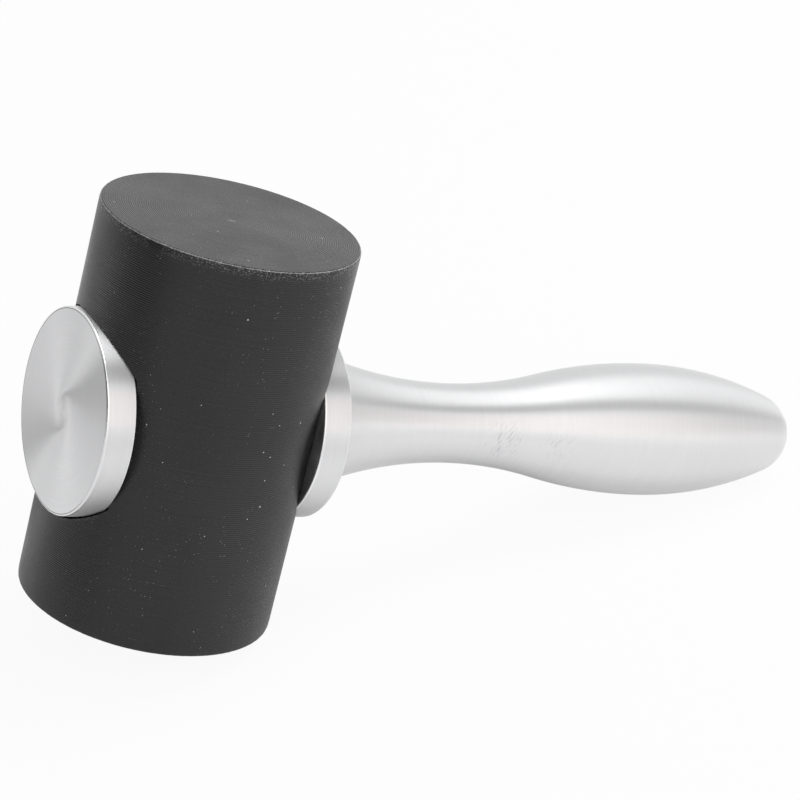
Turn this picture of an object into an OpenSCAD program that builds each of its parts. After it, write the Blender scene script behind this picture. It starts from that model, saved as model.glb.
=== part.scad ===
// Soft-faced mallet: a nylon head clamped between two discs by a stud that screws into a turned handle.
// The origin is the centre of the lower striking face. +Z runs up the head, +X along the handle to its butt.

/* [Head] */
// Diameter of the nylon head
head_d = 50; // [44:1:70]
// Length of the nylon head, from striking face to striking face
head_len = 79; // [60:0.5:120]
// Radius on the rims of the two striking faces
head_edge_r = 0.5; // [0.2:0.1:2]
// Depth of the disc seats, from the crown of the head to the seat's floor
seat_depth = 5.3; // [3:0.1:8]
// Gap around a disc in its seat
seat_gap = 0.4; // [0.1:0.05:0.6]
// How far below the middle of the head the axis of the handle lies
axis_drop = 0.5; // [0:0.1:2]

/* [Cap and collar] */
// Diameter of the end cap
cap_d = 39.5; // [30:0.5:44]
// Diameter of the collar
collar_d = 38.5; // [30:0.5:44]
// Thickness of the end cap and of the collar
disc_t = 6; // [4:0.1:10]
// Chamfer on the edges of the end cap and of the collar
disc_chamfer = 0.4; // [0.1:0.1:1]
// Thickness of metal between the end cap's face and its tapped hole
cap_face_t = 2; // [1.5:0.1:3]
// Diameter of the boss behind the end cap
boss_d = 18; // [15:0.5:24]
// Length of the boss behind the end cap
boss_len = 8; // [5:0.5:12]
// Running gap around the boss in the head
boss_gap = 0.08; // [0.04:0.01:0.1]

/* [Handle] */
// Length of the handle, from the collar to the tip of the butt
handle_len = 116.5; // [100:0.5:160]
// Diameter of the flare where the handle meets the collar
flare_d = 27.5; // [22:0.5:34]
// Diameter of the waist
waist_d = 16; // [14:0.5:20]
// Distance of the waist from the collar
waist_at = 32; // [28:0.5:38]
// Diameter of the bulge that fills the palm
bulge_d = 27.5; // [23:0.5:32]
// Distance of the bulge from the collar
bulge_at = 80; // [70:0.5:86]
// Diameter of the ball-shaped butt
butt_d = 17.5; // [12:0.5:21]

/* [Tie stud] */
// Outer diameter of the stud and of its threads
stud_d = 10; // [8:0.5:11]
// Pitch of the threads
pitch = 1.5; // [1:0.25:1.75]
// Length of the stud inside the handle
stud_in_handle = 18; // [12:0.5:22]
// Gap around the plain shank of the stud
stud_gap = 0.2; // [0.1:0.05:0.4]
// Radial gap between the meshing threads
thread_gap = 0.2; // [0.15:0.01:0.25]
// Gap left at each end of the stud in its tapped hole
stud_end_gap = 0.8; // [0.4:0.1:1.2]

/* [Hidden] */
$fn = 96;
overrun = 1;
arc_steps = 16;
edge_steps = 5;
thread_sides = 24;

nylon_black = "#333335";
satin_aluminium = "#c9cbcf";
plain_steel = "#8f9297";

head_r = head_d / 2;
cap_r = cap_d / 2;
collar_r = collar_d / 2;
boss_r = boss_d / 2;
stud_r = stud_d / 2;
axis_z = head_len / 2 - axis_drop;

// Places along X: the floors of the two seats, the collar's outer face, the boss's end, the stud's two ends
seat_x = head_r - seat_depth;
handle_x = seat_x + disc_t;
boss_end_x = seat_x - boss_len;
stud_handle_x = handle_x + stud_in_handle;
stud_cap_x = handle_x - cap_face_t - stud_end_gap;

// Places along the stud, counted from its end in the handle towards the end cap
stud_len = stud_handle_x + stud_cap_x;
shank_from = stud_in_handle + pitch;
shank_to = stud_handle_x + boss_end_x - pitch;

// A V thread: its depth and the plain length at each end, as shares of the pitch
thread_depth_share = 0.6;
thread_lead_share = 0.5;
thread_root_r = stud_r - thread_depth_share * pitch;
thread_lead = thread_lead_share * pitch;

// Handle outline: a hollow arc through flare and waist, a crowned arc over the bulge, a tail and a ball
waist_r = waist_d / 2;
bulge_r = bulge_d / 2;
butt_r = butt_d / 2;
flare_rise = flare_d / 2 - waist_r;
bulge_rise = bulge_r - waist_r;
tail_run = handle_len - butt_r - bulge_at;
waist_arc_r = (waist_at ^ 2 + flare_rise ^ 2) / (2 * flare_rise);
bulge_arc_r = ((bulge_at - waist_at) ^ 2 + bulge_rise ^ 2) / (2 * bulge_rise) - waist_arc_r;
tail_arc_r = (tail_run ^ 2 + bulge_r ^ 2 - butt_r ^ 2) / (2 * (bulge_r - butt_r));
flare_turn = asin(waist_at / waist_arc_r);
bulge_turn = asin((bulge_at - waist_at) / (waist_arc_r + bulge_arc_r));
tail_turn = asin(tail_run / (tail_arc_r - butt_r));

// Points of an arc in the X-Y plane, with its angles counted from +Y towards +X
function arc(centre, r, from, to, steps) =
    [for (i = [0:steps]) let (a = from + (to - from) * i / steps) centre + r * [sin(a), cos(a)]];

// Points of a list without its first one, for arcs that meet end to end
function rest_of(points) = [for (i = [1:len(points) - 1]) points[i]];

// Distance from the collar and radius along the handle
function handle_outline() = concat(
    arc([waist_at, waist_r + waist_arc_r], -waist_arc_r, flare_turn, -bulge_turn, arc_steps),
    rest_of(arc([bulge_at, bulge_r - bulge_arc_r], bulge_arc_r, -bulge_turn, 0, arc_steps)),
    rest_of(arc([bulge_at, bulge_r - tail_arc_r], tail_arc_r, 0, tail_turn, arc_steps)),
    rest_of(arc([handle_len - butt_r, 0], butt_r, tail_turn, 90, arc_steps)));

// Puts local +Z along +X (way 1) or -X (way -1), on the handle's axis
module along_x(from, way) translate([from, 0, axis_z]) rotate([0, 90 * way, 0]) children();

// Counts local +Z along the stud, from its end in the handle towards the end cap
module on_stud() along_x(stud_handle_x, -1) children();

// A disc of the given radius with chamfered edges, and a boss of the given radius and length below it
module disc(r, boss_r, boss_len) rotate_extrude() polygon(concat(
    boss_len > 0
        ? [[0, -boss_len], [boss_r - disc_chamfer, -boss_len], [boss_r, disc_chamfer - boss_len], [boss_r, 0]]
        : [[0, 0]],
    [[r - disc_chamfer, 0], [r, disc_chamfer]],
    [[r, disc_t - disc_chamfer], [r - disc_chamfer, disc_t], [0, disc_t]]));

// A right-hand V thread with plain ends. Threads on one axis are in step, because their helix starts at Z = 0
module thread(from, to, root_r, crest_r) {
    n = thread_sides;
    first = ceil(n * (from + thread_lead) / pitch);
    run = floor(n * (to - thread_lead) / pitch) - n - first;
    function at(r, i, z) = [r * cos(360 * i / n), r * sin(360 * i / n), z];
    roots = [for (i = [first:first + run + n]) at(root_r, i, pitch * i / n)];
    crests = [for (i = [first:first + run]) at(crest_r, i, pitch * (i / n + 1 / 2))];
    low_ring = [for (i = [0:n - 1]) at(root_r, first + i, from)];
    top_ring = [for (i = [0:n - 1]) at(root_r, first + run + i, to)];
    c = len(roots);
    b = c + len(crests);
    t = b + n;
    flanks = [for (i = [0:run - 1]) each [
        [i, c + i, i + 1], [i + 1, c + i, c + i + 1],
        [c + i, n + i, c + i + 1], [c + i + 1, n + i, n + i + 1]]];
    low_wall = [for (i = [0:n - 2]) each [[b + i, i, b + i + 1], [b + i + 1, i, i + 1]]];
    low_seam = [[b + n - 1, n - 1, n], [b + n - 1, n, 0], [b + n - 1, 0, b], [0, n, c]];
    top_wall = [for (i = [1:n - 1]) each [
        [run + i, t + i, run + i + 1], [run + i + 1, t + i, t + (i + 1) % n]]];
    top_seam = [
        [run, run + n, run + 1], [run + 1, run + n, t + 1], [t + 1, run + n, t], [run, c + run, run + n]];
    ends = [[for (i = [0:n - 1]) b + i], [for (i = [n - 1:-1:0]) t + i]];
    polyhedron(concat(roots, crests, low_ring, top_ring),
        concat(flanks, low_wall, low_seam, top_wall, top_seam, ends));
}

// A tapped hole for the stud, from one place along it to another
module tapped_hole(from, to) on_stud() thread(from, to, thread_root_r + thread_gap, stud_r + thread_gap);

// The turned nylon bar, with a flat-bottomed seat for each disc and a cross bore for the stud and the boss
module head() color(nylon_black) difference() {
    rotate_extrude() polygon(concat(
        [[0, 0]],
        arc([head_r - head_edge_r, head_edge_r], head_edge_r, 180, 90, edge_steps),
        arc([head_r - head_edge_r, head_len - head_edge_r], head_edge_r, 90, 0, edge_steps),
        [[0, head_len]]));
    along_x(-seat_x, -1) cylinder(r = cap_r + seat_gap, h = seat_depth + overrun);
    along_x(seat_x, 1) cylinder(r = collar_r + seat_gap, h = seat_depth + overrun);
    along_x(-head_r, 1) cylinder(r = stud_r + stud_gap, h = head_d);
    along_x(-boss_end_x, -1) cylinder(r = boss_r + boss_gap, h = boss_len + overrun);
}

// The end cap: a disc with a boss behind it, tapped from the boss
module end_cap() color(satin_aluminium) difference() {
    along_x(-seat_x, -1) disc(cap_r, boss_r, boss_len);
    tapped_hole(shank_to - overrun, stud_len + stud_end_gap);
}

// The collar: a disc with a plain hole for the stud
module collar() color(satin_aluminium) difference() {
    along_x(seat_x, 1) disc(collar_r, 0, 0);
    along_x(seat_x - overrun, 1) cylinder(r = stud_r + stud_gap, h = disc_t + 2 * overrun);
}

// The turned handle, tapped from the end that meets the collar
module handle() color(satin_aluminium) difference() {
    along_x(handle_x, 1) rotate_extrude() polygon(concat(
        [[0, 0]],
        [for (p = handle_outline()) [max(p.y, 0), p.x]]));
    tapped_hole(-stud_end_gap, shank_from + overrun);
}

// The stud: a plain shank with a thread at each end, and a relief between shank and thread
module tie_stud() color(plain_steel) on_stud() {
    thread(0, shank_from + thread_lead, thread_root_r, stud_r);
    translate([0, 0, shank_from]) cylinder(r = stud_r, h = shank_to - shank_from);
    thread(shank_to - thread_lead, stud_len, thread_root_r, stud_r);
}

head();
end_cap();
collar();
handle();
tie_stud();
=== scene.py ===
import math

import bmesh
import bpy
from mathutils import Matrix, Vector, noise


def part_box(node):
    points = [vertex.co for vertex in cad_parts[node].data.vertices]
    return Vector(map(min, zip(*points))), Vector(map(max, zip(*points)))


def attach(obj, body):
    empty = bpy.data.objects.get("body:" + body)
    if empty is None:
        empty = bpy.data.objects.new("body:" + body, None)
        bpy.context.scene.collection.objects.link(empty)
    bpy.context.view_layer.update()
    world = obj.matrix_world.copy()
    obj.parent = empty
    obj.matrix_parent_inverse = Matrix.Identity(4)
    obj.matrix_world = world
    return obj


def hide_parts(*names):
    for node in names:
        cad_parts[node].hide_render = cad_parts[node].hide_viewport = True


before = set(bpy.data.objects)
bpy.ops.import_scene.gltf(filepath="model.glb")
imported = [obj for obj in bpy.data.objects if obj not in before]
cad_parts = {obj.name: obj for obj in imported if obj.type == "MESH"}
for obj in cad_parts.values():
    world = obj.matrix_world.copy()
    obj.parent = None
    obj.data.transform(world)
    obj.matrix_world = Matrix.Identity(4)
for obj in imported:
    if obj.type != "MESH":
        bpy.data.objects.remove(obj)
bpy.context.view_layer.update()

# Nylon head
# The head is one bar of black nylon, faced and turned on a lathe, so its ends carry fine rings and its side
# fine grooves. A flat-bottomed seat is milled into its side for each metal disc, and a stepped hole joins
# the seats. Both rims are broken over by hand and have worn pale and ragged.
MM = 0.001

head_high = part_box("head")[1]
collar_low, collar_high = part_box("collar")
cap_low, cap_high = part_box("end_cap")
stud_low, stud_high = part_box("tie_stud")
head_r = head_high.x
head_len = head_high.z
mid_z = head_len / 2
axis_z = (collar_low.z + collar_high.z) / 2
cap_r = (cap_high.z - cap_low.z) / 2
collar_r = (collar_high.z - collar_low.z) / 2
stud_r = (stud_high.z - stud_low.z) / 2
seat_x = collar_low.x
boss_x = cap_high.x
boss_r = 9 * MM
rim_r = 0.5 * MM
seat_gap = 0.4 * MM
boss_gap = 0.08 * MM
stud_gap = 0.2 * MM
head_steps = 480
bore_steps = 240
rim_steps = 6
sharp_edge = 32
weld_gap = MM / 10000


def draw(mesh, points):
    """Joins points by edges and returns their corners."""
    corners = [mesh.verts.new(point) for point in points]
    for start, end in zip(corners, corners[1:]):
        mesh.edges.new((start, end))
    return corners


def break_corners(mesh, corners, size, steps):
    """Rounds corners of an outline."""
    bmesh.ops.bevel(
        mesh, geom=corners, offset=size, offset_type="OFFSET", segments=steps, profile=0.5,
        affect="VERTICES", material=-1)


def turn(mesh, centre, axis, steps):
    """Turns an outline right round an axis, as on a lathe, and closes it."""
    bmesh.ops.spin(
        mesh, geom=mesh.verts[:] + mesh.edges[:], cent=centre, axis=axis, dvec=(0, 0, 0),
        angle=2 * math.pi, steps=steps, use_merge=True)
    bmesh.ops.remove_doubles(mesh, verts=mesh.verts, dist=weld_gap)
    bmesh.ops.recalc_face_normals(mesh, faces=mesh.faces)


def finish_piece(name, mesh, material, sharp=sharp_edge):
    """Makes a piece of a mesh, smooth but for edges sharper than an angle in degrees."""
    data = bpy.data.meshes.new(name)
    mesh.to_mesh(data)
    mesh.free()
    data.materials.append(material)
    data.shade_smooth()
    data.set_sharp_from_angle(angle=math.radians(sharp))
    made = bpy.data.objects.new(name, data)
    bpy.context.scene.collection.objects.link(made)
    return made


def cut_away(piece, cutter):
    """Cuts one piece by another, which is then gone. The cut faces keep the cutter's material."""
    modifier = piece.modifiers.new("cut", "BOOLEAN")
    modifier.object = cutter
    modifier.solver = "EXACT"
    modifier.material_mode = "TRANSFER"
    seen = piece.evaluated_get(bpy.context.evaluated_depsgraph_get())
    whole = piece.data
    piece.data = bpy.data.meshes.new_from_object(seen)
    piece.modifiers.clear()
    bpy.data.meshes.remove(whole)
    bpy.data.meshes.remove(cutter.data)
    piece.data.name = piece.name
    piece.data.shade_smooth()
    piece.data.set_sharp_from_angle(angle=math.radians(sharp_edge))


def place(tree, kind, sockets=None, **settings):
    """Puts a node in a tree. A socket takes a plain value or another node's output."""
    made = tree.nodes.new("ShaderNode" + kind)
    for name, value in settings.items():
        setattr(made, name, value)
    for key, value in (sockets or {}).items():
        if isinstance(value, bpy.types.NodeSocket):
            tree.links.new(value, made.inputs[key])
        else:
            made.inputs[key].default_value = value
    return made


def sums(tree, operation, *values):
    """One step of arithmetic."""
    return place(tree, "Math", dict(enumerate(values)), operation=operation).outputs[0]


def vectors(tree, operation, *values):
    """One step of arithmetic with places. A length or a distance comes out as a plain value."""
    made = place(tree, "VectorMath", dict(enumerate(values)), operation=operation)
    return made.outputs["Value" if operation in ("LENGTH", "DISTANCE") else "Vector"]


def ramp(tree, value, low, high, to_low=0.0, to_high=1.0):
    """Turns a range of values smoothly into another."""
    sockets = {"Value": value, "From Min": low, "From Max": high, "To Min": to_low, "To Max": to_high}
    return place(tree, "MapRange", sockets, interpolation_type="SMOOTHSTEP").outputs[0]


def cloud(tree, where, scale, detail=2.0):
    """Even noise, from about 0.3 to 0.7."""
    return place(tree, "TexNoise", {"Vector": where, "Scale": scale, "Detail": detail}).outputs[0]


def blend_colours(tree, share, under, over):
    """Lays one colour over another by a mask."""
    made = place(tree, "Mix", {0: share, 6: under, 7: over}, data_type="RGBA")
    return made.outputs[2]


def new_group(name, inputs, outputs):
    """Starts a shared effect. Its inputs and outputs are pairs of a name and a kind of socket."""
    tree = bpy.data.node_groups.new(name, "ShaderNodeTree")
    for label, kind in inputs:
        tree.interface.new_socket(label, in_out="INPUT", socket_type="NodeSocket" + kind)
    for label, kind in outputs:
        tree.interface.new_socket(label, in_out="OUTPUT", socket_type="NodeSocket" + kind)
    given = tree.nodes.new("NodeGroupInput").outputs
    wanted = tree.nodes.new("NodeGroupOutput").inputs
    return tree, given, wanted


def use(tree, group, sockets):
    """Places a shared effect in a material."""
    return place(tree, "Group", sockets, node_tree=group).outputs


def new_material(name):
    """Starts a material, and returns it with its tree, its shader and its Object coordinates."""
    material = bpy.data.materials.new(name)
    material.use_nodes = True
    tree = material.node_tree
    shader = tree.nodes["Principled BSDF"]
    where = place(tree, "TexCoord").outputs["Object"]
    return material, tree, shader, where


# Tool marks: even grooves left by a lathe's feed, each a little deeper or shallower than the next
groove_change = 0.8
groove_patches = 60.0
groove_depth = 4.0
tool_marks, given, wanted = new_group(
    "tool_marks", [("Across", "Float"), ("Pitch", "Float"), ("Where", "Vector")], [("Height", "Float")])
turns = sums(tool_marks, "DIVIDE", given["Across"], given["Pitch"])
groove = sums(tool_marks, "SINE", sums(tool_marks, "MULTIPLY", turns, 2 * math.pi))
uneven = place(
    tool_marks, "TexNoise", {"W": turns, "Scale": groove_change, "Detail": 2.0},
    noise_dimensions="1D").outputs[0]
patchy = cloud(tool_marks, given["Where"], groove_patches)
depth = sums(tool_marks, "MULTIPLY", sums(tool_marks, "MULTIPLY", uneven, patchy), groove_depth)
tool_marks.links.new(sums(tool_marks, "MULTIPLY", groove, depth), wanted["Height"])

# Specks: grains of dust and swarf on a surface, or pits in it, each in its own cell
specks, given, wanted = new_group(
    "specks", [("Where", "Vector"), ("Cells", "Float"), ("Share", "Float"), ("Size", "Float")],
    [("Mask", "Float")])
cell = place(specks, "TexVoronoi", {"Vector": given["Where"], "Scale": given["Cells"]})
lot = place(specks, "SeparateColor", {0: cell.outputs["Color"]})
chosen = sums(specks, "LESS_THAN", lot.outputs[0], given["Share"])
reach = sums(specks, "MULTIPLY", given["Size"], lot.outputs[1])
grain = sums(specks, "LESS_THAN", cell.outputs["Distance"], reach)
specks.links.new(sums(specks, "MULTIPLY", chosen, grain), wanted["Mask"])

# Nylon: its tones, then the sizes of its marks, then its grains and patches, which are counted per metre
# The side's tones are a darker copy of the nylon, which is painted shade, and the faces' crests a much
# paler copy, which is painted light. Hollows are darker than crests by painted shade in the grooves.
side_shade_dark = (0.001, 0.001, 0.001, 1)
side_shade_crest = (0.007, 0.007, 0.0072, 1)
face_shade_dark = (0.001, 0.001, 0.001, 1)
face_lit_crest = (0.09, 0.09, 0.092, 1)
nylon_torn = (0.13, 0.13, 0.13, 1)
nylon_pale = (0.4, 0.4, 0.4, 1)
speck_white = (0.42, 0.42, 0.42, 1)
nylon_rough = (0.30, 0.38)
face_pitch = 0.42 * MM
side_pitch = 0.42 * MM
mark_height = 0.02 * MM
mark_strength = 0.9
ragged_band = 2.4 * MM
burr_band = 0.6 * MM
pip_r = 0.9 * MM
scored_z = head_len - 2.9 * MM
dust_grains = {"Cells": 2000.0, "Share": 0.7, "Size": 0.13}
swarf_grains = {"Cells": 500.0, "Share": 0.3, "Size": 0.1}
dust_drifts = 70.0
grit_grains = 3000.0
grit_height = 5.0
smear_patches = 130.0
smear_most = 0.2
chip_grains = 3200.0
chip_clumps = 300.0
rub_patches = 90.0
torn_dark = 0.8
lower_wear = 0.3
grit_relief = 0.5
score_relief = -4.0


def nylon(name, milled):
    """Black nylon as turned, or as milled in the seats, with dust on it and pale worn rims."""
    material, tree, shader, where = new_material(name)
    axes = place(tree, "SeparateXYZ", {0: where}).outputs
    crosswise, centre = ((0, 1, 1), (0, 0, axis_z)) if milled else ((1, 1, 0), (0, 0, 0))
    flat = vectors(tree, "MULTIPLY", where, crosswise)
    radius = vectors(tree, "LENGTH", vectors(tree, "SUBTRACT", flat, centre))
    rings = use(tree, tool_marks, {"Across": radius, "Pitch": face_pitch, "Where": where})["Height"]
    if milled:
        height = rings
        # The seats take the side's painted shade, with painted shade in the hollows of their rings
        colour = blend_colours(tree, ramp(tree, rings, -1.0, 1.0), side_shade_dark, side_shade_crest)
    else:
        from_mid = sums(tree, "ABSOLUTE", sums(tree, "SUBTRACT", axes["Z"], mid_z))
        to_face = sums(tree, "SUBTRACT", mid_z, from_mid)
        to_side = sums(tree, "SUBTRACT", head_r, radius)
        on_face = sums(tree, "LESS_THAN", to_face, rim_r / 4)
        on_side = sums(tree, "LESS_THAN", to_side, rim_r)
        upper = ramp(tree, axes["Z"], 0.3 * mid_z, 1.7 * mid_z)

        # Cut surface: crests are paler than hollows, in part pale burrs and in part painted shade in the
        # grooves, grit breaks them up, and the face is smeared. The face's crests are painted light, far
        # paler than the side's painted shade
        feed = {"Across": axes["Z"], "Pitch": side_pitch, "Where": where}
        grooves = use(tree, tool_marks, feed)["Height"]
        marks = place(tree, "Mix", {0: on_face, 2: grooves, 3: rings}).outputs[0]
        grit = sums(tree, "SUBTRACT", cloud(tree, where, grit_grains), 0.5)
        grit = sums(tree, "MULTIPLY", grit, grit_height)
        cut = ramp(tree, sums(tree, "ADD", marks, grit), -0.9, 0.9)
        deep = blend_colours(tree, on_face, side_shade_dark, face_shade_dark)
        crest = blend_colours(tree, on_face, side_shade_crest, face_lit_crest)
        colour = blend_colours(tree, cut, deep, crest)
        smears = ramp(tree, cloud(tree, where, smear_patches, 4.0), 0.4, 0.7, 0.0, smear_most)
        colour = blend_colours(tree, sums(tree, "MULTIPLY", on_face, smears), colour, face_shade_dark)

        # Torn grains: pale ones in a dark band under the upper rim, and burrs below the end cap's seat
        chips = cloud(tree, where, chip_grains)
        clumps = ramp(tree, cloud(tree, where, chip_clumps), 0.28, 0.45)
        grains = sums(tree, "MULTIPLY", ramp(tree, chips, 0.52, 0.64), clumps)
        band = ramp(tree, sums(tree, "SUBTRACT", to_face, to_side), ragged_band, rim_r)
        torn_band = sums(tree, "MULTIPLY", sums(tree, "MULTIPLY", band, on_side), upper)
        by_axis = vectors(tree, "MULTIPLY", where, (0, 1, 1))
        from_axis = vectors(tree, "DISTANCE", by_axis, (0, 0, axis_z))
        past_seat = sums(tree, "SUBTRACT", from_axis, cap_r + seat_gap)
        by_cap = sums(tree, "LESS_THAN", axes["X"], -seat_x)
        at_seat = sums(tree, "MULTIPLY", ramp(tree, past_seat, burr_band, 0.0), by_cap)
        burrs = sums(tree, "MULTIPLY", at_seat, sums(tree, "LESS_THAN", axes["Z"], axis_z))
        torn = sums(tree, "MULTIPLY", sums(tree, "MAXIMUM", torn_band, burrs), grains)
        colour = blend_colours(tree, sums(tree, "MULTIPLY", torn_band, torn_dark), colour, side_shade_dark)

        # Scored line: one deep turn of the tool under the upper rim, on the handle's side, a real groove in
        # the relief whose darkness is painted shade
        from_score = sums(tree, "ABSOLUTE", sums(tree, "SUBTRACT", axes["Z"], scored_z))
        score_line = ramp(tree, from_score, 0.3 * rim_r, 0.1 * rim_r)
        score_and_shade = sums(tree, "MULTIPLY", score_line, ramp(tree, axes["X"], 0.3 * head_r, 0.6 * head_r))
        colour = blend_colours(tree, score_and_shade, colour, side_shade_dark)
        colour = blend_colours(tree, torn, colour, nylon_torn)

        # Worn rims, the upper one more than the lower, and the pip that facing leaves in the middle
        on_rim = ramp(tree, sums(tree, "MAXIMUM", to_face, to_side), 0.6 * rim_r, 0.3 * rim_r)
        worn = sums(tree, "MULTIPLY", on_rim, ramp(tree, chips, 0.35, 0.6, 0.4, 1.0))
        worn = sums(tree, "MULTIPLY", worn, sums(tree, "MULTIPLY_ADD", upper, 1 - lower_wear, lower_wear))
        pip = sums(tree, "MULTIPLY", on_face, ramp(tree, radius, pip_r, pip_r / 3))
        pip = sums(tree, "MULTIPLY", pip, ramp(tree, chips, 0.4, 0.6, 0.1, 0.6))
        colour = blend_colours(tree, sums(tree, "MAXIMUM", worn, pip), colour, nylon_pale)
        relief = sums(tree, "MULTIPLY_ADD", grit, grit_relief, torn)
        relief = sums(tree, "MULTIPLY_ADD", score_and_shade, score_relief, relief)
        height = sums(tree, "ADD", marks, relief)

    fine_dust = use(tree, specks, {"Where": where, **dust_grains})["Mask"]
    fine_dust = sums(tree, "MULTIPLY", fine_dust, ramp(tree, cloud(tree, where, dust_drifts), 0.35, 0.6))
    swarf = use(tree, specks, {"Where": where, **swarf_grains})["Mask"]
    colour = blend_colours(tree, sums(tree, "MAXIMUM", fine_dust, swarf), colour, speck_white)
    tree.links.new(colour, shader.inputs["Base Color"])
    rubbed = cloud(tree, where, rub_patches, 4.0)
    tree.links.new(ramp(tree, rubbed, 0.3, 0.7, *nylon_rough), shader.inputs["Roughness"])
    bump = place(tree, "Bump", {"Height": height, "Distance": mark_height, "Strength": mark_strength})
    tree.links.new(bump.outputs[0], shader.inputs["Normal"])
    return material


# Turned bar: loops stand close to each rim, and the rim itself is chipped by a little noise
near_rim = 3 * rim_r
off_rim = 4 * rim_r
rim_reach = 1.2 * rim_r
rim_chip = 0.05 * MM
rim_grains = 1500
head_mesh = bmesh.new()
head_outline = draw(head_mesh, [
    (0, 0, 0), (head_r - off_rim, 0, 0), (head_r - near_rim, 0, 0), (head_r, 0, 0),
    (head_r, 0, near_rim), (head_r, 0, off_rim), (head_r, 0, head_len - off_rim),
    (head_r, 0, head_len - near_rim), (head_r, 0, head_len), (head_r - near_rim, 0, head_len),
    (head_r - off_rim, 0, head_len), (0, 0, head_len)])
break_corners(head_mesh, [head_outline[3], head_outline[8]], rim_r, rim_steps)
turn(head_mesh, (0, 0, 0), (0, 0, 1), head_steps)
for vertex in head_mesh.verts:
    inside = Vector((vertex.co.x, vertex.co.y, 0))
    by_face = min(vertex.co.z, head_len - vertex.co.z)
    if by_face < rim_reach and inside.length > head_r - rim_reach:
        ragged_by = rim_chip * (noise.noise(vertex.co * rim_grains) - 1)
        vertex.co += inside.normalized() * ragged_by
nylon_head = finish_piece("nylon_head", head_mesh, nylon("turned_nylon", False))

# Seats: both of them and the stepped hole between are cut by one turned shape
past_head = head_r + MM
cap_seat_r = cap_r + seat_gap
collar_seat_r = collar_r + seat_gap
boss_hole_r = boss_r + boss_gap
bore_r = stud_r + stud_gap
seat_outline = [
    (-past_head, 0), (-past_head, cap_seat_r), (-seat_x, cap_seat_r), (-seat_x, boss_hole_r),
    (boss_x, boss_hole_r), (boss_x, bore_r), (seat_x, bore_r),
    (seat_x, collar_seat_r), (past_head, collar_seat_r), (past_head, 0)]
cut_mesh = bmesh.new()
draw(cut_mesh, [(x, 0, axis_z + r) for x, r in seat_outline])
turn(cut_mesh, (0, 0, axis_z), (1, 0, 0), bore_steps)
cut_away(nylon_head, finish_piece("seat_cutter", cut_mesh, nylon("milled_nylon", True)))
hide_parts("head")
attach(nylon_head, "head")

# End cap and collar
# Two discs of turned aluminium, faced on a lathe so that their faces carry fine rings that spread the light
# into a bow tie. Their edges are rounded over and bright. The end cap has a tapped boss behind it that runs
# in the head, and the collar a plain hole. The threads are never seen, so all bores are plain here.
disc_edge = 0.4 * MM
cap_face_t = 2 * MM
edge_steps = 6
disc_steps = 384
disc_sharp = 8
metal_pale = (0.89, 0.893, 0.9, 1)
metal_grey = (0.85, 0.853, 0.86, 1)
# The disc faces' tones are a darker copy of the same aluminium's tones: painted shade
shaded_faced_pale = (0.79, 0.793, 0.8, 1)
shaded_faced_grey = (0.75, 0.753, 0.76, 1)
# The grey of the discs' backs is painted shade
back_shade_grey = (0.5, 0.5, 0.5, 1)
# A grey for real pits in the metal and for a painted shade line at the end cap's edge, then that line's
# width and the spot where it fades
pit_and_shade_grey = (0.25, 0.25, 0.26, 1)
edge_shade_width = 0.11 * MM
faint_shade_spot = Vector((cap_low.x, -0.97 * cap_r, axis_z - 0.2 * cap_r))
metal_pits = {"Cells": 260.0, "Share": 0.03, "Size": 0.09}
tarnish_patches = 45.0
line_share = 0.7
line_rough = 0.02
line_strength = 0.5

# Swirl: towards the middle of a face the rings wind in, and at the very middle they cross
swirl_r = 4 * MM
swirl_turn = math.radians(40)
swirl_most = 2.0
cross_grains = 4000.0
cross_turn = 9.0

# Turning lines: hair-fine streaks that follow the tool round the axis and change slowly along their way
line_change = 90
turning_lines, given, wanted = new_group(
    "turning_lines", [("Across", "Float"), ("Where", "Vector"), ("Fineness", "Float")],
    [("Lines", "Float")])
slow = vectors(turning_lines, "MULTIPLY", given["Where"], (0, line_change, line_change))
step = sums(turning_lines, "MULTIPLY", given["Across"], given["Fineness"])
fast = place(turning_lines, "CombineXYZ", {0: step}).outputs[0]
streak = vectors(turning_lines, "ADD", slow, fast)
turning_lines.links.new(cloud(turning_lines, streak, 1.0, 3.0), wanted["Lines"])


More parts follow.
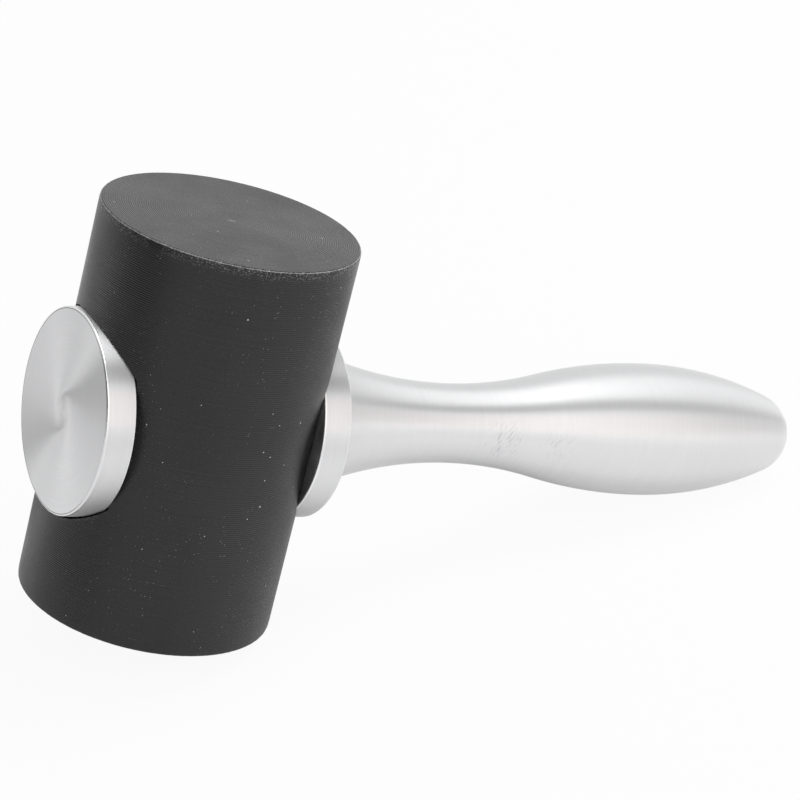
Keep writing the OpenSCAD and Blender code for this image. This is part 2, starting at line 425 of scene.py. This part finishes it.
def aluminium(name, rough, anisotropy, fineness, streak_height, on_faces):
    """Turned aluminium, whose marks run round the handle's axis, or wind into the middle of a face."""
    material, tree, shader, where = new_material(name)
    axes = place(tree, "SeparateXYZ", {0: where}).outputs
    centred = vectors(tree, "SUBTRACT", where, (0, 0, axis_z))
    radius = vectors(tree, "LENGTH", vectors(tree, "MULTIPLY", centred, (0, 1, 1)))
    across = sums(tree, "ADD", radius, axes["X"]) if on_faces else axes["X"]
    lines = use(tree, turning_lines, {"Across": across, "Where": centred, "Fineness": fineness})["Lines"]
    tarnish = sums(tree, "MULTIPLY", cloud(tree, where, tarnish_patches, 3.0), 1 - line_share)
    shade = sums(tree, "ADD", sums(tree, "MULTIPLY", lines, line_share), tarnish)
    # Disc faces take the darker copy of the metal's tones, which is painted shade
    pale, grey = (shaded_faced_pale, shaded_faced_grey) if on_faces else (metal_pale, metal_grey)
    colour = blend_colours(tree, ramp(tree, shade, 0.3, 0.7), grey, pale)
    pits = use(tree, specks, {"Where": where, **metal_pits})["Mask"]
    colour = blend_colours(tree, pits, colour, pit_and_shade_grey)
    satin = ramp(tree, shade, 0.25, 0.75, rough + line_rough, rough - line_rough)
    tree.links.new(satin, shader.inputs["Roughness"])
    bump = place(tree, "Bump", {"Height": lines, "Distance": streak_height, "Strength": line_strength})
    tree.links.new(bump.outputs[0], shader.inputs["Normal"])
    tangent = place(tree, "Tangent", direction_type="RADIAL", axis="X").outputs[0]
    if on_faces:
        inwards = sums(tree, "POWER", sums(tree, "DIVIDE", swirl_r, radius), 2.0)
        wound = sums(tree, "MULTIPLY", sums(tree, "MINIMUM", inwards, swirl_most), swirl_turn)
        crossed = sums(tree, "SUBTRACT", cloud(tree, where, cross_grains), 0.5)
        in_middle = ramp(tree, radius, 0.9 * swirl_r, 0.2 * swirl_r, 0.0, cross_turn)
        wound = sums(tree, "MULTIPLY_ADD", crossed, in_middle, wound)
        swirl = {"Vector": tangent, "Angle": wound}
        tangent = place(tree, "VectorRotate", swirl, rotation_type="X_AXIS").outputs[0]
    tree.links.new(tangent, shader.inputs["Tangent"])
    shader.inputs["Metallic"].default_value = 1.0
    shader.inputs["Anisotropic"].default_value = anisotropy
    shader.inputs["Anisotropic Rotation"].default_value = 0.25
    return material, tree, shader, where, radius, colour


# Turned disc: a thin line of painted shade lies where the end cap's face meets its rounded edge, fainter at
# one spot
turned_disc, tree, shader, where, radius, colour = aluminium(
    "turned_disc", rough=0.42, anisotropy=0.9, fineness=9000.0, streak_height=0.0006 * MM, on_faces=True)
from_edge = sums(tree, "ABSOLUTE", sums(tree, "SUBTRACT", radius, cap_r - disc_edge - edge_shade_width / 2))
on_cap = sums(tree, "LESS_THAN", place(tree, "SeparateXYZ", {0: where}).outputs["X"], 0.0)
edge_shade = sums(tree, "MULTIPLY", on_cap, ramp(tree, from_edge, edge_shade_width, edge_shade_width / 3))
from_faint_shade = vectors(tree, "DISTANCE", where, faint_shade_spot)
edge_shade = sums(tree, "MULTIPLY", edge_shade, ramp(tree, from_faint_shade, 0.3 * cap_r, 0.6 * cap_r, 0.2, 1.0))
tree.links.new(blend_colours(tree, edge_shade, colour, pit_and_shade_grey), shader.inputs["Base Color"])

# Turned rim: the discs' rims, turned with a coarser feed
turned_rim, tree, shader, where, radius, colour = aluminium(
    "turned_rim", rough=0.44, anisotropy=0.91, fineness=5000.0, streak_height=0.0016 * MM, on_faces=False)
tree.links.new(colour, shader.inputs["Base Color"])

# Bright edge: the rounded edges of the discs, polished by handling
polish_patches = 500.0
polish_rough = (0.2, 0.28)
bright_edge, tree, shader, where = new_material("bright_edge")
rubbed = cloud(tree, where, polish_patches, 3.0)
tree.links.new(blend_colours(tree, rubbed, metal_grey, metal_pale), shader.inputs["Base Color"])
tree.links.new(ramp(tree, rubbed, 0.3, 0.7, *polish_rough), shader.inputs["Roughness"])
shader.inputs["Metallic"].default_value = 1.0

# Shaded back: the side of a disc that faces the head, left as parted from the bar and dull, with painted
# shade in patches for the dark gap against the black head
parted_patches = 150.0
parted_rough = (0.45, 0.6)
shaded_back, tree, shader, where = new_material("shaded_back")
shade_and_dull_patches = cloud(tree, where, parted_patches, 4.0)
tree.links.new(blend_colours(tree, shade_and_dull_patches, back_shade_grey, metal_grey), shader.inputs["Base Color"])
tree.links.new(ramp(tree, shade_and_dull_patches, 0.3, 0.7, *parted_rough), shader.inputs["Roughness"])
shader.inputs["Metallic"].default_value = 1.0


def turned_piece(name, outline, rounded):
    """A disc turned about the handle's axis from pairs of a place along it and a radius."""
    mesh = bmesh.new()
    corners = draw(mesh, [(x, 0, axis_z + r) for x, r in outline])
    break_corners(mesh, [corners[i] for i in rounded], disc_edge, edge_steps)
    turn(mesh, (0, 0, axis_z), (1, 0, 0), disc_steps)
    mesh.normal_update()
    finishes = [turned_disc, shaded_back, bright_edge, turned_rim]
    for face in mesh.faces:
        lean_x = abs(face.normal.x)
        if abs(abs(face.calc_center_median().x) - seat_x) < MM / 100:
            # The side that faces the head gets the painted shade of the back
            finish = shaded_back
        elif lean_x > 0.99:
            finish = turned_disc
        elif lean_x > 0.05:
            finish = bright_edge
        else:
            finish = turned_rim
        face.material_index = finishes.index(finish)
    made = finish_piece(name, mesh, finishes[0], disc_sharp)
    for finish in finishes[1:]:
        made.data.materials.append(finish)
    return made


cap_x = cap_low.x
cap_disc = turned_piece(
    "cap_disc",
    [(cap_x, 0), (cap_x, cap_r), (-seat_x, cap_r), (-seat_x, boss_r), (boss_x, boss_r),
     (boss_x, bore_r), (cap_x + cap_face_t, bore_r), (cap_x + cap_face_t, 0)],
    (1, 2, 4))
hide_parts("end_cap")
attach(cap_disc, "cap")

collar_x = collar_high.x
collar_disc = turned_piece(
    "collar_disc",
    [(seat_x, bore_r), (seat_x, collar_r), (collar_x, collar_r), (collar_x, bore_r), (seat_x, bore_r)],
    (1, 2))
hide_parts("collar")
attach(collar_disc, "handle")

# Handle
# The grip is turned from one bar of aluminium along flowing arcs: a flare at the collar, a waist for thumb
# and finger, a bulge for the palm and a ball at the butt. It is sanded round its axis to a satin finish,
# scuffed in two places behind the waist, and tapped for the stud at the flare.
handle_low, handle_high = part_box("handle")
handle_x = handle_low.x
flare_r = handle_high.y
waist_x = handle_x + 32 * MM
waist_r = 8 * MM
bulge_x = handle_x + 80 * MM
bulge_r = 13.75 * MM
butt_r = 8.75 * MM
butt_x = handle_high.x - butt_r
tapped_to = stud_high.x + 0.8 * MM
arc_steps = 40
handle_steps = 192

flare_rise = flare_r - waist_r
bulge_rise = bulge_r - waist_r
waist_arc_r = ((waist_x - handle_x) ** 2 + flare_rise ** 2) / (2 * flare_rise)
bulge_arc_r = ((bulge_x - waist_x) ** 2 + bulge_rise ** 2) / (2 * bulge_rise) - waist_arc_r
tail_arc_r = ((butt_x - bulge_x) ** 2 + bulge_r ** 2 - butt_r ** 2) / (2 * (bulge_r - butt_r))
flare_turn = math.asin((waist_x - handle_x) / waist_arc_r)
bulge_turn = math.asin((bulge_x - waist_x) / (waist_arc_r + bulge_arc_r))
tail_turn = math.asin((butt_x - bulge_x) / (tail_arc_r - butt_r))


def arc_on(mesh, end, centre_x, centre_r, angle):
    """Carries an outline on round an arc, over a crown, or through a hollow for a minus angle."""
    made = bmesh.ops.spin(
        mesh, geom=[end], cent=(centre_x, 0, axis_z + centre_r), axis=(0, 1, 0), dvec=(0, 0, 0),
        angle=angle, steps=arc_steps, use_merge=False)
    return [item for item in made["geom_last"] if isinstance(item, bmesh.types.BMVert)][0]


# Scuffs: strokes at two slants round two spots, which each have a place, a reach and a strength
scratch_slants = [math.radians(8), math.radians(40)]
scratch_size = (0.22 * MM, 2.4 * MM, 2.4 * MM)
scratch_cut = (0.57, 0.72)
scratch_grey = (0.64, 0.64, 0.66, 1)
scuffed = [
    (Vector((waist_x + 9.5 * MM, -8.4 * MM, axis_z + 0.3 * MM)), 6.5 * MM, 0.9),
    (Vector((waist_x + 21.2 * MM, -10.4 * MM, axis_z + 0.6 * MM)), 6 * MM, 0.4)]

satin_handle, tree, shader, where, radius, colour = aluminium(
    "satin_handle", rough=0.40, anisotropy=0.87, fineness=5000.0, streak_height=0.0016 * MM, on_faces=False)
for slant in scratch_slants:
    stroke = {"Vector": where, "Rotation": (0, slant, 0), "Scale": scratch_size}
    slanted = place(tree, "Mapping", stroke, vector_type="TEXTURE").outputs[0]
    scratches = ramp(tree, cloud(tree, slanted, 1.0), *scratch_cut)
    for spot, spread, strength in scuffed:
        away = vectors(tree, "DISTANCE", where, spot)
        scuff = sums(tree, "MULTIPLY", scratches, ramp(tree, away, spread, 0.3 * spread, 0.0, strength))
        colour = blend_colours(tree, scuff, colour, scratch_grey)
tree.links.new(colour, shader.inputs["Base Color"])

grip_mesh = bmesh.new()
end = draw(grip_mesh, [
    (tapped_to, 0, axis_z), (tapped_to, 0, axis_z + bore_r), (handle_x, 0, axis_z + bore_r),
    (handle_x, 0, axis_z + flare_r)])[-1]
end = arc_on(grip_mesh, end, waist_x, waist_r + waist_arc_r, -flare_turn - bulge_turn)
end = arc_on(grip_mesh, end, bulge_x, bulge_r - bulge_arc_r, bulge_turn)
end = arc_on(grip_mesh, end, bulge_x, bulge_r - tail_arc_r, tail_turn)
end = arc_on(grip_mesh, end, butt_x, 0, math.pi / 2 - tail_turn)
turn(grip_mesh, (0, 0, axis_z), (1, 0, 0), handle_steps)
grip = finish_piece("grip", grip_mesh, satin_handle)
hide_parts("handle")
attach(grip, "handle")

# Tie stud
# A plain steel stud with a cut thread at each end. It runs through the head, screwed into the handle and
# into the end cap's boss, and shows only when the cap is unscrewed. A film of oil darkens it in patches.
steel_dark = (0.5, 0.5, 0.52, 1)
steel_pale = (0.62, 0.62, 0.63, 1)
steel_rough = (0.26, 0.4)
steel_lines = 4000.0
oil_patches = 220.0

steel, tree, shader, where = new_material("plain_steel")
oil = cloud(tree, where, oil_patches, 4.0)
along = place(tree, "SeparateXYZ", {0: where}).outputs["X"]
drawn = use(tree, turning_lines, {"Across": along, "Where": where, "Fineness": steel_lines})["Lines"]
tree.links.new(blend_colours(tree, oil, steel_dark, steel_pale), shader.inputs["Base Color"])
tree.links.new(ramp(tree, drawn, 0.3, 0.7, *steel_rough), shader.inputs["Roughness"])
shader.inputs["Metallic"].default_value = 1.0
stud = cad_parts["tie_stud"]
stud.data.materials.clear()
stud.data.materials.append(steel)

# Floor
# A pale studio floor under the mallet, which leans on the head's lower rim and on the tail of the handle.
# It is white to the camera and keeps a faint shadow. In the metal it is pale, with soft painted patches of
# shadow and light round the head's foot, and seen from below it isn't there.
lean = min(
    math.atan2(vertex.co.z, vertex.co.x - head_r)
    for vertex in grip.data.vertices if vertex.co.x > bulge_x)
studio = Matrix.Translation((head_r, 0, 0)) @ Matrix.Rotation(-lean, 4, "Y")
head_foot = studio @ Vector((-head_r, 0, 0))
floor_size = 60.0
floor_pale = (0.77, 0.77, 0.78, 1)
camera_white = 0.93
glossy_white = 0.45

# Painted patches seen only in mirrored rays: a painted shadow under the handle and one behind the head, and
# painted pools of light. Each has the distances from the head's foot, the angles from +X and the tone that
# mirrored rays see
painted_floor_patches = [
    ((0.06, 0.13), (-5, 55), 0.44),
    ((0.1, 0.6), (55, 83), 1.4),
    ((0.08, 0.14), (86, 117), 0.02),
    ((0.08, 0.19), (122, 146), 1.08),
    ((0.04, 0.14), (-92, -42), 1.05)]
soft_ring = 0.04
soft_sector = math.radians(18)


def bare_material(name):
    """Starts a material without a shader, and returns it with its tree."""
    material = bpy.data.materials.new(name)
    material.use_nodes = True
    material.node_tree.nodes.clear()
    return material, material.node_tree


def soft_band(tree, value, low, high, soft):
    """A mask for the values between two, which fades out over a soft border at either end."""
    half = (high - low) / 2
    from_middle = sums(tree, "ABSOLUTE", sums(tree, "SUBTRACT", value, low + half))
    return ramp(tree, from_middle, half + soft / 2, half - soft / 2)


floor_material, tree = bare_material("studio_floor")
where = place(tree, "TexCoord").outputs["Object"]
laid = {"Vector": where, "Location": head_foot, "Rotation": (0, -lean, 0)}
on_floor = place(tree, "Mapping", laid, vector_type="TEXTURE").outputs[0]
foot_away = vectors(tree, "LENGTH", on_floor)
floor_axes = place(tree, "SeparateXYZ", {0: on_floor}).outputs
foot_round = sums(tree, "ARCTAN2", floor_axes["Y"], floor_axes["X"])
on_patch = 0.0
patch_tone = 0.0
for (near, far), (start, stop), tone in painted_floor_patches:
    in_ring = soft_band(tree, foot_away, near, far, soft_ring)
    in_sector = soft_band(tree, foot_round, math.radians(start), math.radians(stop), soft_sector)
    patch = sums(tree, "MULTIPLY", in_ring, in_sector)
    on_patch = sums(tree, "ADD", patch, on_patch)
    patch_tone = sums(tree, "MULTIPLY_ADD", patch, tone, patch_tone)

rays = place(tree, "LightPath").outputs
tone_change = sums(tree, "SUBTRACT", patch_tone, on_patch)
# Mirrored rays see the painted shadows and painted pools of light in place of white
glow = sums(tree, "MULTIPLY_ADD", rays["Is Glossy Ray"], tone_change, 1.0)
matt = place(tree, "BsdfDiffuse", {"Color": floor_pale})
white = place(tree, "Emission", {"Color": (1, 1, 1, 1), "Strength": glow})
clear = place(tree, "BsdfTransparent")
seen = sums(tree, "MULTIPLY", rays["Is Camera Ray"], camera_white)
bright = sums(tree, "MULTIPLY_ADD", on_patch, 1 - glossy_white, glossy_white)
mirrored = sums(tree, "MULTIPLY", rays["Is Glossy Ray"], bright)
through = sums(tree, "MULTIPLY", rays["Is Transmission Ray"], camera_white)
share = sums(tree, "ADD", seen, sums(tree, "ADD", mirrored, through))
top = place(tree, "MixShader", {0: share, 1: matt.outputs[0], 2: white.outputs[0]})
below = place(tree, "NewGeometry").outputs["Backfacing"]
both = place(tree, "MixShader", {0: below, 1: top.outputs[0], 2: clear.outputs[0]})
tree.links.new(both.outputs[0], place(tree, "OutputMaterial").inputs["Surface"])

floor_mesh = bmesh.new()
bmesh.ops.create_grid(floor_mesh, x_segments=1, y_segments=1, size=floor_size / 2, matrix=studio)
floor = finish_piece("floor", floor_mesh, floor_material)

# Light
# A soft studio: an even white room, a softbox over the handle and a warm one in front of it. Metal and
# nylon mirror the faces of these and of softboxes further left, and grey cards between and beside them.
grip_mid = Vector((handle_x + (handle_high.x - handle_x) / 2, 0, axis_z))
strip_away = 0.9
bend_steps = 48
room_light = 0.55

world = bpy.data.worlds.new("studio")
bpy.context.scene.world = world
world.use_nodes = True
tree = world.node_tree
rays = place(tree, "LightPath").outputs
shown = sums(tree, "ADD", rays["Is Glossy Ray"], rays["Is Transmission Ray"])
shown = sums(tree, "ADD", rays["Is Camera Ray"], shown)
tree.nodes["Background"].inputs["Color"].default_value = (1, 1, 1, 1)
room = place(tree, "Mix", {0: shown, 2: room_light, 3: 1.0})
tree.links.new(room.outputs[0], tree.nodes["Background"].inputs["Strength"])


def panel(name, mesh, colour):
    """A panel that shows only in mirrored rays, as bright as its colour."""
    material, tree = bare_material(name)
    glow = place(tree, "Emission", {"Color": (*colour, 1), "Strength": 1.0})
    tree.links.new(glow.outputs[0], place(tree, "OutputMaterial").inputs["Surface"])
    material.cycles.emission_sampling = "NONE"
    made = finish_piece(name, mesh, material)
    made.visible_camera = False
    made.visible_diffuse = False
    made.visible_shadow = False


def strip(name, low, high, left, right, colour, light=0.0):
    """A panel along the handle between two angles round it, with a soft lamp in it where it gives light."""
    middle = math.radians((low + high) / 2)
    out = Vector((0, -math.cos(middle), math.sin(middle)))
    wide = 2 * strip_away * math.tan(math.radians(high - low) / 2)
    side = Vector((1, 0, 0))
    turned = Matrix((side, out.cross(side), out)).transposed().to_4x4()
    spot = Matrix.Translation(grip_mid + out * strip_away + side * (left + right) / 2) @ turned
    sized = spot @ Matrix.Diagonal((right - left, wide, 1, 1))
    mesh = bmesh.new()
    bmesh.ops.create_grid(mesh, x_segments=1, y_segments=1, size=0.5, matrix=sized)
    panel(name, mesh, colour)
    if light:
        lamp = bpy.data.lights.new(name + "_lamp", "AREA")
        lamp.shape = "RECTANGLE"
        lamp.size = right - left
        lamp.size_y = wide
        lamp.energy = light * math.pi * (right - left) * wide
        lamp.color = colour
        made = bpy.data.objects.new(name + "_lamp", lamp)
        made.matrix_world = spot
        made.visible_camera = False
        made.visible_glossy = False
        bpy.context.scene.collection.objects.link(made)


def bend(name, near, far, start, stop, colour):
    """A panel bent round the head, from one edge (distance out, height) to another, at angles from +X."""
    mesh = bmesh.new()
    draw(mesh, [(near[0], 0, near[1]), (far[0], 0, far[1])])
    bmesh.ops.rotate(
        mesh, verts=mesh.verts, cent=(0, 0, 0), matrix=Matrix.Rotation(math.radians(start), 3, "Z"))
    bmesh.ops.spin(
        mesh, geom=mesh.verts[:] + mesh.edges[:], cent=(0, 0, 0), axis=(0, 0, 1), dvec=(0, 0, 0),
        angle=math.radians(stop - start), steps=bend_steps, use_merge=False)
    bmesh.ops.transform(mesh, verts=mesh.verts, matrix=studio @ Matrix.Translation((-head_r, 0, MM)))
    panel(name, mesh, colour)


# Strips: angles round the handle's axis, counted upwards from straight in front, then the ends along the
# handle from its middle, the colour, and the light where it gives any
strip("overhead_softbox", 82, 112, -0.1, 1.0, (0.88, 0.88, 0.88), 3.75)
strip("front_softbox", 10, 48, -0.1, 0.85, (1.1, 1.05, 1.02), 2.5)
strip("left_front_softbox", 10, 48, -0.9, -0.1, (1.45, 1.4, 1.38))
strip("left_softbox", 45, 78, -1.7, -0.55, (1.7, 1.7, 1.7))
strip("left_overhead_softbox", 80, 115, -0.75, -0.1, (3.0, 3.0, 3.0))
strip("end_card", 10, 55, 0.85, 2.4, (0.36, 0.36, 0.36))
strip("end_overhead_card", 77, 116, 1.0, 2.6, (0.66, 0.66, 0.66))
strip("gap_card", 56, 75, -0.55, 2.4, (0.46, 0.46, 0.46))
strip("back_card", 126, 178, -0.6, 1.8, (0.78, 0.78, 0.78))
bend("left_card", (0.6, 0.1), (0.6, 0.85), 147, 202, (0.03, 0.03, 0.03))
bend("horizon_card", (0.6, 0), (0.6, 0.22), 118, 148, (0.7, 0.7, 0.7))

# Camera
# A long lens in front of the head's left side, a little above it and rolled with the lean of the mallet.
# Its angles, distance and aim were fitted to the mallet's outlines.
camera_round = math.radians(-32.782)
camera_up = math.radians(20.3595)
camera_roll = math.radians(14.683)
camera_away = 0.56934
aim_right = 0.040765
aim_up = 0.0023725
lens_mm = 134.0
sensor_mm = 36.0

back = Vector((
    math.sin(camera_round) * math.cos(camera_up), -math.cos(camera_round) * math.cos(camera_up),
    math.sin(camera_up)))
level = Vector((math.cos(camera_round), math.sin(camera_round), 0))
upright = back.cross(level)
right = math.cos(camera_roll) * level + math.sin(camera_roll) * upright
up = math.cos(camera_roll) * upright - math.sin(camera_roll) * level
aim = Vector((0, 0, mid_z)) + aim_right * right + aim_up * up
lens = bpy.data.cameras.new("camera")
lens.lens = lens_mm
lens.sensor_width = sensor_mm
camera = bpy.data.objects.new("camera", lens)
turned = Matrix((right, up, back)).transposed().to_4x4()
camera.matrix_world = Matrix.Translation(aim + back * camera_away) @ turned
bpy.context.scene.collection.objects.link(camera)
bpy.context.scene.camera = camera
bpy.context.scene.view_settings.view_transform = "Standard"
